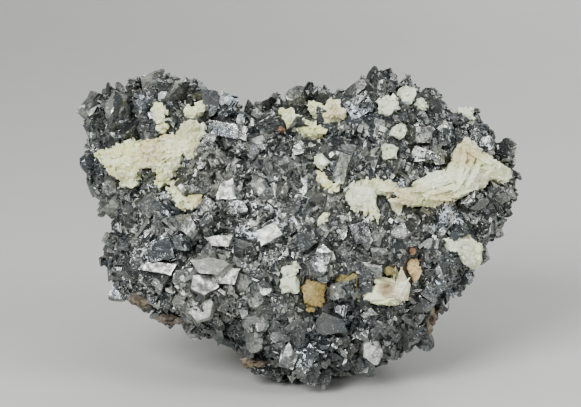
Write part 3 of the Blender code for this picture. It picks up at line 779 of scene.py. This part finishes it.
def scatter_tree():
    """A node group that sets forms on the open faces of a mesh, with a random tone for each."""
    tree = bpy.data.node_groups.new("scatter_forms", "GeometryNodeTree")
    for name, kind in SCATTER_INPUTS:
        tree.interface.new_socket(name, in_out="INPUT", socket_type=kind)
    tree.interface.new_socket("Geometry", in_out="OUTPUT", socket_type="NodeSocketGeometry")
    graph = Graph(tree)
    given = tree.nodes.new("NodeGroupInput")

    def value(name):
        return Sock(graph, given.outputs[name])

    seed = value("Seed")
    open_faces = graph.add("GeometryNodeInputNamedAttribute", {"data_type": "FLOAT"}, {"Name": "open"})
    scattered = graph.add("GeometryNodeDistributePointsOnFaces", {"distribute_method": "POISSON"}, {
        "Mesh": value("Geometry"), "Distance Min": value("Spacing"), "Density Max": POINT_DENSITY,
        "Density Factor": open_faces, "Seed": seed})
    node = scattered.socket.node
    normal, upright = Sock(graph, node.outputs["Normal"]), Sock(graph, node.outputs["Rotation"])

    def random_float(low, high, shift):
        return graph.add("FunctionNodeRandomValue", {"data_type": "FLOAT"},
                         {2: low, 3: high, "Seed": seed + shift}, 1)

    share = random_float(0.0, 1.0, 11) ** value("Rarity")
    place = graph.add("GeometryNodeInputPosition")
    coarse = graph.between(graph.noise(60.0, 2.0, vector=place), 0.3, 0.7, 0.72, 1.28)
    parts = graph.add("ShaderNodeSeparateXYZ", None, {0: normal}).socket.node.outputs
    front = graph.between(Sock(graph, parts["Y"]), -0.60, -0.10, 1.0, value("Sides"))
    upward = Sock(graph, parts["Z"])
    front = front * graph.between(upward, -0.75, -0.25, value("Sides"), 1.0)
    front = front * graph.between(upward, 0.3, 0.8, 1.0, value("Sides"))
    size = (value("Smallest") + (value("Largest") * front - value("Smallest")) * share) * coarse
    room = graph.add("GeometryNodeInputNamedAttribute", {"data_type": "FLOAT"}, {"Name": "room"})
    size = graph.math("MINIMUM", size, room * 2.0 + 0.5 * MM)
    sink = graph.add("ShaderNodeVectorMath", {"operation": "SCALE"},
                     {0: normal, "Scale": size * value("Sinking") * -1.0})
    sunk = graph.add("GeometryNodeSetPosition", None, {"Geometry": scattered, "Offset": sink})
    lean = value("Lean")
    back = lean * -1.0
    turn = graph.add("ShaderNodeCombineXYZ", None, {
        0: back + (lean - back) * random_float(0.0, 1.0, 21),
        1: back + (lean - back) * random_float(0.0, 1.0, 22),
        2: random_float(0.0, math.tau, 23)})
    turned = graph.add("FunctionNodeRotateRotation", {"rotation_space": "LOCAL"}, {
        0: upright, 1: graph.add("FunctionNodeEulerToRotation", None, {0: turn})})
    forms = graph.add("GeometryNodeCollectionInfo", None, {
        "Collection": value("Forms"), "Separate Children": True, "Reset Children": True})
    stretch = graph.add("ShaderNodeCombineXYZ", None, {
        0: size * random_float(0.8, 1.15, 31), 1: size * random_float(0.75, 1.1, 32),
        2: size * value("Height") * random_float(0.7, 1.1, 33)})
    grown = graph.add("GeometryNodeInstanceOnPoints", None, {
        "Points": sunk, "Instance": forms, "Pick Instance": True, "Rotation": turned, "Scale": stretch})
    toned = graph.add("GeometryNodeStoreNamedAttribute", {"domain": "INSTANCE"}, {
        "Geometry": grown, "Name": "tone", "Value": random_float(0.0, 1.0, 41)})
    real = graph.add("GeometryNodeRealizeInstances", None, {"Geometry": toned})
    faced = graph.add("GeometryNodeStoreNamedAttribute", {"domain": "FACE"}, {
        "Geometry": real, "Name": "face_tone", "Value": random_float(0.0, 1.0, 51)})
    done = graph.add("GeometryNodeSetMaterial", None, {"Geometry": faced, "Material": value("Material")})
    tree.links.new(done.socket, tree.nodes.new("NodeGroupOutput").inputs[0])
    return tree


def scatter(obj, **inputs):
    """Replaces obj's mesh by forms scattered over it."""
    tree = bpy.data.node_groups.get("scatter_forms") or scatter_tree()
    modifier = obj.modifiers.new("scatter", "NODES")
    modifier.node_group = tree
    for name, value in inputs.items():
        modifier[tree.interface.items_tree[name.replace("_", " ")].identifier] = value
    apply_modifiers(obj)


# Settings

class SpecimenSettings(bpy.types.PropertyGroup):
    """Sizes and colours that shape the specimen's look."""

    crystal_spacing: FloatProperty(
        name="Crystal spacing", description="Least distance between neighbouring crystals",
        default=2.0 * MM, unit="LENGTH")
    crystal_smallest: FloatProperty(
        name="Smallest crystal", description="Width of the smallest crystals",
        default=2.7 * MM, unit="LENGTH")
    crystal_largest: FloatProperty(
        name="Largest crystal", description="Width of the largest crystals",
        default=6.4 * MM, unit="LENGTH")
    chip_spacing: FloatProperty(
        name="Chip spacing", description="Least distance between the small bright chips",
        default=0.95 * MM, unit="LENGTH")
    chip_largest: FloatProperty(
        name="Largest chip", description="Width of the largest chips",
        default=2.4 * MM, unit="LENGTH")
    crust_spacing: FloatProperty(
        name="Crust grain spacing", description="Least distance between grains of a crust",
        default=0.62 * MM, unit="LENGTH")
    rock_relief: FloatProperty(
        name="Rock relief", description="Height of the host rock's roughness",
        default=1.2 * MM, unit="LENGTH")
    galena_dark: FloatVectorProperty(
        name="Dark metal", description="Colour of the darkest crystal faces",
        default=(0.128, 0.137, 0.143), subtype="COLOR")
    galena_bright: FloatVectorProperty(
        name="Bright metal", description="Colour of the brightest crystal faces",
        default=(0.71, 0.72, 0.67), subtype="COLOR")
    crust_cream: FloatVectorProperty(
        name="Cream crust", description="Main colour of the crusts",
        default=(0.84, 0.87, 0.63), subtype="COLOR")
    crust_yellow: FloatVectorProperty(
        name="Yellow crust", description="Colour of the crusts' yellow patches",
        default=(0.76, 0.77, 0.41), subtype="COLOR")
    ochre_colour: FloatVectorProperty(
        name="Ochre", description="Main colour of the ochre lumps",
        default=(0.40, 0.32, 0.15), subtype="COLOR")
    rock_colour: FloatVectorProperty(
        name="Rock", description="Main colour of the host rock",
        default=(0.20, 0.16, 0.11), subtype="COLOR")
    seed: IntProperty(name="Seed", description="Another seed scatters the crystals anew", default=4)


# Operators

class SpecimenBed(bpy.types.Operator):
    """Dark crystal bed that shows in the gaps"""

    bl_idname = "specimen.bed"
    bl_label = "Crystal bed"

    def execute(self, context):
        obj = add_piece("galena_bed", node_copy(MASS), galena_material("galena_bed", 1.3, 0.8))
        finish_piece(obj, [MASS])
        return {"FINISHED"}


class SpecimenCrystals(bpy.types.Operator):
    """Intergrown crystals all over the bed"""

    bl_idname = "specimen.crystals"
    bl_label = "Crystals"

    def execute(self, context):
        settings = context.scene.specimen
        forms = form_collection("crystal_forms", (
            (skewed_form, 6, (1.0, 0.86, 0.72), 0.12),
            (skewed_form, 7, (1.0, 0.7, 0.9), 0.18),
            (skewed_form, 8, (1.4, 0.5, 0.32), 0.08),
            (skewed_form, 1, (1.0, 0.95, 0.8), 0.24),
            (skewed_form, 2, (1.2, 0.8, 0.42), 0.1),
            (skewed_form, 3, (1.3, 0.6, 0.5), 0.14),
            (skewed_form, 4, (1.0, 1.0, 0.6), 0.3),
            (skewed_form, 5, (1.1, 0.75, 0.75), 0.2),
            (plate_form, 6, 0.42, 0.84),
            (plate_form, 3, 0.6, 0.5),
            (plate_form, 4, 0.7, 0.35),
            (stepped_form,),
            (shard_form, 3, 0.8),
            (shard_form, 8, 1.0),
            (shard_form, 13, 0.9),
            (shard_form, 17, 0.7),
        ))
        obj = bed_copy("galena_crystals")
        scatter(obj, Forms=forms, Spacing=settings.crystal_spacing, Smallest=settings.crystal_smallest,
                Largest=settings.crystal_largest, Rarity=1.8, Sinking=0.12, Lean=0.58,
                Sides=0.5, Height=0.64, Seed=settings.seed,
                Material=galena_material("galena_crystals", 0.85, 0.65))
        remove_collection(forms)
        finish_piece(obj)
        return {"FINISHED"}


class SpecimenChips(bpy.types.Operator):
    """Small bright chips and blades between the crystals"""

    bl_idname = "specimen.chips"
    bl_label = "Chips"

    def execute(self, context):
        settings = context.scene.specimen
        forms = form_collection("chip_forms", (
            (block_form, (1.4, 0.5, 0.2), 0.08),
            (plate_form, 3, 0.3, 0.7),
            (plate_form, 4, 0.3, 0.8),
            (shard_form, 21, 0.6),
            (shard_form, 22, 0.9),
        ))
        obj = bed_copy("galena_chips")
        scatter(obj, Forms=forms, Spacing=settings.chip_spacing, Smallest=0.8 * MM,
                Largest=settings.chip_largest, Rarity=1.5, Sinking=-0.08, Lean=0.85,
                Sides=0.6, Height=1.0, Seed=settings.seed + 1,
                Material=galena_material("galena_chips", 0.5, 0.6))
        remove_collection(forms)
        finish_piece(obj)
        return {"FINISHED"}


class SpecimenPlates(bpy.types.Operator):
    """Large crystals at their places in the picture"""

    bl_idname = "specimen.plates"
    bl_label = "Large crystals"

    def execute(self, context):
        surface = tree_of(MASS)
        bm = bmesh.new()
        tone_layer = bm.verts.layers.float.new("tone")
        form_layer = bm.verts.layers.float_vector.new("form")
        face_layer = bm.faces.layers.float.new("face_tone")
        rng = random.Random(5)
        for (px, py), (width, height), turn, (right, down), corners, tone in PLATES:
            hit, normal = at_pixel(surface, px, py)
            facing = (normal * 0.35 - LOOK * 0.65).normalized()
            away = 0.6 * (0.45 - tone)
            facing += Vector((right + away, 0.0, -down - away))
            matrix = Matrix.Translation(hit - LOOK * 1.2 * MM)
            matrix @= facing.to_track_quat("Z", "Y").to_matrix().to_4x4()
            matrix @= Matrix.Rotation(math.radians(turn), 4, "Z")
            start, first_face = len(bm.verts), len(bm.faces)
            matrix @= Matrix.Diagonal((width * MM, height * MM, min(width, height) * 0.6 * MM, 1))
            if corners == 4:
                bmesh.ops.create_cube(bm, size=1.0, matrix=matrix)
            else:
                bmesh.ops.create_cone(bm, cap_ends=True, segments=corners, radius1=0.58, radius2=0.5,
                                      depth=1.0, matrix=matrix)
            bm.verts.ensure_lookup_table()
            for vert in bm.verts[start:]:
                vert[tone_layer] = tone
                vert[form_layer] = matrix.inverted() @ vert.co * 1.9
                vert.co += Vector([rng.uniform(-0.16, 0.16) * side for side in (width, height, 4)]) * MM
            bm.faces.ensure_lookup_table()
            for face in bm.faces[first_face:]:
                face[face_layer] = min(1.0, max(0.0, tone + rng.uniform(-0.25, 0.25)))
        bmesh.ops.recalc_face_normals(bm, faces=bm.faces)
        divided(bm, 0.8 * MM, 4)
        for vert in bm.verts:
            vert.co += noise.noise_vector(vert.co / (1.5 * MM)) * 0.28 * MM
        obj = add_piece("galena_plates", bm, galena_material("galena_plates", 0.8, 0.25))
        finish_piece(obj)
        return {"FINISHED"}


class SpecimenCrusts(bpy.types.Operator):
    """Valentinite crusts, some of coarse grains and some of fine scales"""

    bl_idname = "specimen.crusts"
    bl_label = "Crusts"

    def execute(self, context):
        forms = form_collection("grain_forms", (
            (grain_form, 1.0), (grain_form, 4.0), (grain_form, 9.0),
            (skewed_form, 51, (0.3, 0.9, 1.3), 0.08),
            (skewed_form, 52, (1.3, 0.7, 0.35), 0.12),
            (shard_form, 31, 0.7), (shard_form, 32, 1.0),
        ))
        for kind, nodes, tint, relief, grains in (
                ("grainy", GRAINY_CRUSTS, (0.0, 0.2, 0.75), 0.55, (0.6, 2.2, 0.0, 0.9, 1.0)),
                ("smooth", SMOOTH_CRUSTS, (0.25, 0.35, 0.3), 0.45, (0.5, 1.8, 0.12, 0.7, 0.7)),
                ("sheaf", SHEAF, (0.0, 0.8, 0.6), 0.3, (0.4, 0.9, 0.2, 0.5, 0.6))):
            self.grow(context, forms, kind, nodes, tint, relief, grains)
        remove_collection(forms)
        return {"FINISHED"}

    def grow(self, context, forms, kind, nodes, tint, relief, grains):
        """Roughens one group of crusts, and scatters grains over it. The tint is whiteness, pinkness and
        the strength of the painted shade in pits, and the grains are smallest and largest in mm, sinking,
        lean and height."""
        settings = context.scene.specimen
        smallest, largest, sinking, lean, height = grains
        material = valentinite_material(f"valentinite_{kind}", *tint)
        bm = divided(node_copy(*nodes), 0.7 * MM, 3)
        bm.normal_update()
        for vert in bm.verts:
            place = vert.co / (1.9 * MM)
            wave = noise.noise_vector(place) + 0.6 * noise.noise_vector(place * 2.6)
            vert.co += wave * relief * MM
        base = add_piece(f"valentinite_{kind}_crusts", bm, material)
        finish_piece(base, nodes)
        obj = add_piece(f"valentinite_{kind}_grains", node_copy(*nodes))
        mark_open_faces(obj, [MASS], 0.45 * MM)
        scatter(obj, Forms=forms, Spacing=settings.crust_spacing, Smallest=smallest * MM,
                Largest=largest * MM, Rarity=1.8, Sinking=sinking, Lean=lean, Sides=1.0, Height=height,
                Seed=settings.seed + 2, Material=material)
        finish_piece(obj)


class SpecimenBlades(bpy.types.Operator):
    """Valentinite blades at their places in the picture"""

    bl_idname = "specimen.blades"
    bl_label = "Blades"

    def execute(self, context):
        surface = tree_of(MASS, *CRUSTS)
        rng = random.Random(8)
        bm = bmesh.new()
        for first, second, width in BLADES:
            ends = [at_pixel(surface, *pixel)[0] - LOOK * 0.25 * MM for pixel in (first, second)]
            along = ends[1] - ends[0]
            across = along.cross(LOOK).normalized()
            above = across.cross(along).normalized()
            for shift in (-0.5, 0.5):
                middle = (ends[0] + ends[1]) / 2 + across * shift * width * 0.45 * MM
                middle += along * rng.uniform(-0.08, 0.08) - LOOK * rng.uniform(-0.2, 0.3) * MM
                turn = Matrix((along.normalized(), across, above)).transposed().to_4x4()
                turn = turn @ Matrix.Rotation(rng.uniform(-0.10, 0.10), 4, "Z")
                turn = turn @ Matrix.Rotation(rng.uniform(-0.5, 0.5), 4, "X")
                sides = (along.length * rng.uniform(0.8, 1.05), width * rng.uniform(0.45, 0.75) * MM,
                         width * 0.7 * MM, 1)
                add_form(bm, Matrix.Translation(middle) @ turn @ Matrix.Diagonal(sides),
                         skewed_form, rng.randrange(100), (1, 1, 1), 0.28)
        material = valentinite_material("valentinite_blades", 0.2, 0.4)
        divided(bm, 0.6 * MM, 3)
        grains = add_piece("valentinite_blade_grains", bm.copy())
        bm.normal_update()
        for vert in bm.verts:
            vert.co += vert.normal * 0.4 * noise.noise(vert.co / (0.8 * MM)) * MM
        obj = add_piece("valentinite_blades", bm, material)
        finish_piece(obj)
        forms = form_collection("blade_forms", (
            (grain_form, 3.0), (skewed_form, 71, (1.3, 0.6, 0.5), 0.15), (shard_form, 72, 0.8)))
        mark_open_faces(grains, [MASS], 0.2 * MM)
        scatter(grains, Forms=forms, Spacing=0.85 * MM, Smallest=0.4 * MM, Largest=1.3 * MM,
                Rarity=1.6, Sinking=0.1, Lean=0.6, Sides=1.0, Height=0.8,
                Seed=context.scene.specimen.seed + 6, Material=material)
        remove_collection(forms)
        finish_piece(grains)
        return {"FINISHED"}


class SpecimenBlocks(bpy.types.Operator):
    """Pale blocky crystals"""

    bl_idname = "specimen.blocks"
    bl_label = "Pale crystals"

    def execute(self, context):
        bm = node_copy(*BLOCKS)
        bmesh.ops.subdivide_edges(bm, edges=bm.edges[:], cuts=7, use_grid_fill=True)
        smoothed(bm, 5)
        for vert in bm.verts:
            wave = noise.noise_vector(vert.co / (2.4 * MM)) * 1.5
            wave += noise.noise_vector(vert.co / (0.8 * MM)) * 0.35
            vert.co += (wave - LOOK * 0.1) * MM
        material = valentinite_material("valentinite_blocks", 0.9, 0.1, 0.85)
        obj = add_piece("valentinite_blocks", bm, material)
        finish_piece(obj, BLOCKS)
        forms = form_collection("block_forms", (
            (skewed_form, 61, (1.0, 0.8, 0.5), 0.12), (shard_form, 62, 0.8), (shard_form, 63, 1.0)))
        obj = add_piece("valentinite_block_grains", node_copy(*BLOCKS))
        mark_open_faces(obj, [MASS], 0.4 * MM)
        scatter(obj, Forms=forms, Spacing=0.8 * MM, Smallest=0.6 * MM, Largest=2.0 * MM,
                Rarity=1.5, Sinking=0.35, Lean=0.6, Sides=1.0, Height=1.0,
                Seed=context.scene.specimen.seed + 5, Material=material)
        remove_collection(forms)
        finish_piece(obj)
        return {"FINISHED"}


class SpecimenOchre(bpy.types.Operator):
    """Rusty tan plates and lumps"""

    bl_idname = "specimen.ochre"
    bl_label = "Ochre"

    def execute(self, context):
        material = ochre_material()
        base = add_piece("ochre_lumps", node_copy(*OCHRES), material)
        finish_piece(base, OCHRES)
        forms = form_collection("ochre_forms", (
            (grain_form, 2.0), (grain_form, 6.0), (shard_form, 41, 0.5), (plate_form, 5, 0.3, 0.8)))
        obj = add_piece("ochre_grains", node_copy(*OCHRES))
        mark_open_faces(obj, [MASS], 0.5 * MM)
        scatter(obj, Forms=forms, Spacing=0.8 * MM, Smallest=0.8 * MM, Largest=2.2 * MM,
                Rarity=2.0, Sinking=0.2, Lean=0.7, Sides=1.0, Height=1.0,
                Seed=context.scene.specimen.seed + 3, Material=material)
        remove_collection(forms)
        finish_piece(obj)
        bm = bmesh.new()
        for number, (place, _, width, height) in enumerate(places_of(OCHRE_BITS, tree_of(MASS))):
            matrix = Matrix.Translation(place - LOOK * 0.9 * MM)
            matrix = matrix @ Matrix.Diagonal((width, min(width, height) + 1.8 * MM, height, 1))
            add_form(bm, matrix, grain_form, number * 5.0, 3)
        divided(bm, 0.5 * MM, 1)
        for vert in bm.verts:
            vert.co += noise.noise_vector(vert.co / (0.9 * MM)) * 0.4 * MM
        finish_piece(add_piece("ochre_bits", bm, material))
        return {"FINISHED"}


class SpecimenRock(bpy.types.Operator):
    """Weathered host rock behind and below the crystals"""

    bl_idname = "specimen.rock"
    bl_label = "Host rock"

    def execute(self, context):
        relief = context.scene.specimen.rock_relief
        bm = smoothed(divided(node_copy(ROCK), 1.3 * MM, 4), 8)
        bm.normal_update()
        layer = bm.verts.layers.float.new("height")
        for vert in bm.verts:
            height = broken_height(vert.co / (10.0 * MM)) + 0.45 * broken_height(vert.co / (4.3 * MM))
            height += 0.3 * noise.fractal(vert.co / (3.0 * MM), 0.8, 2.2, 4)
            vert[layer] = height
        for vert in bm.verts:
            vert.co += vert.normal * relief * (vert[layer] - 0.25)
        crystals = add_piece("galena_on_rock", bm.copy())
        obj = add_piece("host_rock_skin", bm, rock_material("host_rock", 0.0))
        finish_piece(obj, [ROCK])
        self.add_crystals(context, crystals)
        self.add_peeks()
        return {"FINISHED"}

    def add_crystals(self, context, obj):
        """Crystals that grow over the rock's edge, and a few that sit alone further off."""
        settings = context.scene.specimen
        tree = tree_of(MASS)
        values = []
        for face in obj.data.polygons:
            gap = tree.find_nearest(face.center)[3]
            island = noise.noise(face.center / (9.0 * MM)) * 0.5
            share = min(1.0, max(0.02, 1.3 - gap / (6.0 * MM) + island * 1.6))
            values.append(0.0 if gap < 0.3 * MM or face.center.z < 1.0 * MM else share)
        store_faces(obj, "open", values)
        store_faces(obj, "room", [1.0] * len(values))
        forms = form_collection("rim_forms", (
            (skewed_form, 6, (1.0, 0.86, 0.72), 0.12), (skewed_form, 1, (1.0, 0.95, 0.8), 0.24),
            (skewed_form, 3, (1.3, 0.6, 0.5), 0.14), (shard_form, 8, 1.0), (shard_form, 17, 0.7)))
        scatter(obj, Forms=forms, Spacing=1.5 * MM, Smallest=1.6 * MM, Largest=4.4 * MM, Rarity=1.8,
                Sinking=0.2, Lean=0.7, Sides=1.0, Height=0.8, Seed=settings.seed + 7,
                Material=galena_material("galena_on_rock", 0.85, 0.6))
        remove_collection(forms)
        finish_piece(obj)

    def add_peeks(self):
        """Lumps of bare rock at their places in the picture."""
        bm = bmesh.new()
        peeks = places_of(ROCK_PEEKS, tree_of(MASS))
        for number, (place, normal, width, height) in enumerate(peeks):
            matrix = Matrix.Translation(place - normal * min(width, height) * 0.22)
            matrix = matrix @ Matrix.Diagonal((width, width, height, 1))
            add_form(bm, matrix, grain_form, number * 7.0, 4)
        bm.normal_update()
        layer = bm.verts.layers.float.new("height")
        for vert in bm.verts:
            vert[layer] = noise.fractal(vert.co / (1.4 * MM), 0.8, 2.0, 4)
        for vert in bm.verts:
            vert.co += vert.normal * vert[layer] * 0.6 * MM
        obj = add_piece("host_rock_peeks", bm, rock_material("host_rock_peeks", 0.15))
        finish_piece(obj)


class SpecimenStage(bpy.types.Operator):
    """Pale floor, studio lights and camera"""

    bl_idname = "specimen.stage"
    bl_label = "Studio"

    def execute(self, context):
        scene = context.scene
        floor = self.sweep()
        for light in LIGHTS:
            self.light(*light)
        world = bpy.data.worlds.new("studio")
        world.use_nodes = True
        world.node_tree.nodes["Background"].inputs["Color"].default_value = WORLD_COLOUR
        scene.world = world
        data = bpy.data.cameras.new("camera")
        data.sensor_width = SENSOR / MM
        data.lens = LENS / MM
        data.clip_start = 0.01
        camera = bpy.data.objects.new("camera", data)
        camera.location = CAMERA_PLACE
        camera.rotation_euler = Euler((math.pi / 2 - CAMERA_TILT, 0.0, 0.0))
        scene.collection.objects.link(camera)
        scene.camera = camera
        scene.view_settings.view_transform = "AgX"
        scene.view_settings.look = "AgX - Medium High Contrast"
        return {"FINISHED"}

    def sweep(self):
        """A floor that curves up into a wall far behind the specimen."""
        bm = bmesh.new()
        radius, front, top, half_width = 0.5, -1.2, 1.6, 2.0
        angles = [math.radians(7.5 * step) for step in range(1, 13)]
        profile = [(front, 0.0), (radius, 0.0)]
        profile += [(radius + radius * math.sin(a), radius - radius * math.cos(a)) for a in angles]
        profile += [(2 * radius, top)]
        rows = [[bm.verts.new((x, y, z)) for x in (-half_width, half_width)] for y, z in profile]
        for (a, b), (c, d) in zip(rows, rows[1:]):
            bm.faces.new((a, b, d, c))
        material, graph, shader = new_material("floor")
        tint = graph.mix(graph.noise(30.0, 3.0), (0.60, 0.61, 0.60, 1), (0.63, 0.64, 0.63, 1))
        feed(graph, shader, Base_Color=tint, Roughness=0.6)
        floor = add_piece("floor", bm, material)
        floor.data.shade_smooth()
        return floor

    def light(self, name, place, size, radiance):
        """A soft light at this place that faces the specimen."""
        data = bpy.data.lights.new(name, "AREA")
        data.shape = "RECTANGLE"
        data.size, data.size_y = size
        data.energy = radiance * math.pi * size[0] * size[1]
        light = bpy.data.objects.new(name, data)
        light.location = place
        aim = LIGHT_TARGET - Vector(place)
        light.rotation_euler = aim.to_track_quat("-Z", "Y").to_euler()
        bpy.context.scene.collection.objects.link(light)


class SpecimenPanel(bpy.types.Panel):
    """Sizes and steps of the specimen"""

    bl_label = "Valentinite specimen"
    bl_idname = "VIEW3D_PT_specimen"
    bl_space_type = "VIEW_3D"
    bl_region_type = "UI"
    bl_category = "Specimen"

    def draw(self, context):
        for name in SpecimenSettings.__annotations__:
            self.layout.prop(context.scene.specimen, name)
        for operator in OPERATORS:
            self.layout.operator(operator.bl_idname)


OPERATORS = (SpecimenBed, SpecimenCrystals, SpecimenChips, SpecimenPlates, SpecimenCrusts,
             SpecimenBlades, SpecimenBlocks, SpecimenOchre, SpecimenRock, SpecimenStage)
CLASSES = (SpecimenSettings, *OPERATORS, SpecimenPanel)


def register():
    """Adds the classes and the scene's settings."""
    for cls in CLASSES:
        bpy.utils.register_class(cls)
    bpy.types.Scene.specimen = PointerProperty(type=SpecimenSettings)


def unregister():
    """Takes the settings and the classes away again."""
    del bpy.types.Scene.specimen
    for cls in reversed(CLASSES):
        bpy.utils.unregister_class(cls)


def main():
    """Builds the whole scene."""
    register()
    for obj in [o for o in bpy.data.objects if o.name in ("Cube", "Light", "Camera")]:
        bpy.data.objects.remove(obj)
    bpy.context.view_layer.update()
    bpy.ops.specimen.bed()
    bpy.ops.specimen.crystals()
    bpy.ops.specimen.chips()
    bpy.ops.specimen.plates()
    bpy.ops.specimen.crusts()
    bpy.ops.specimen.blades()
    bpy.ops.specimen.blocks()
    bpy.ops.specimen.ochre()
    bpy.ops.specimen.rock()
    bpy.ops.specimen.stage()


if __name__ == "__main__":
    main()
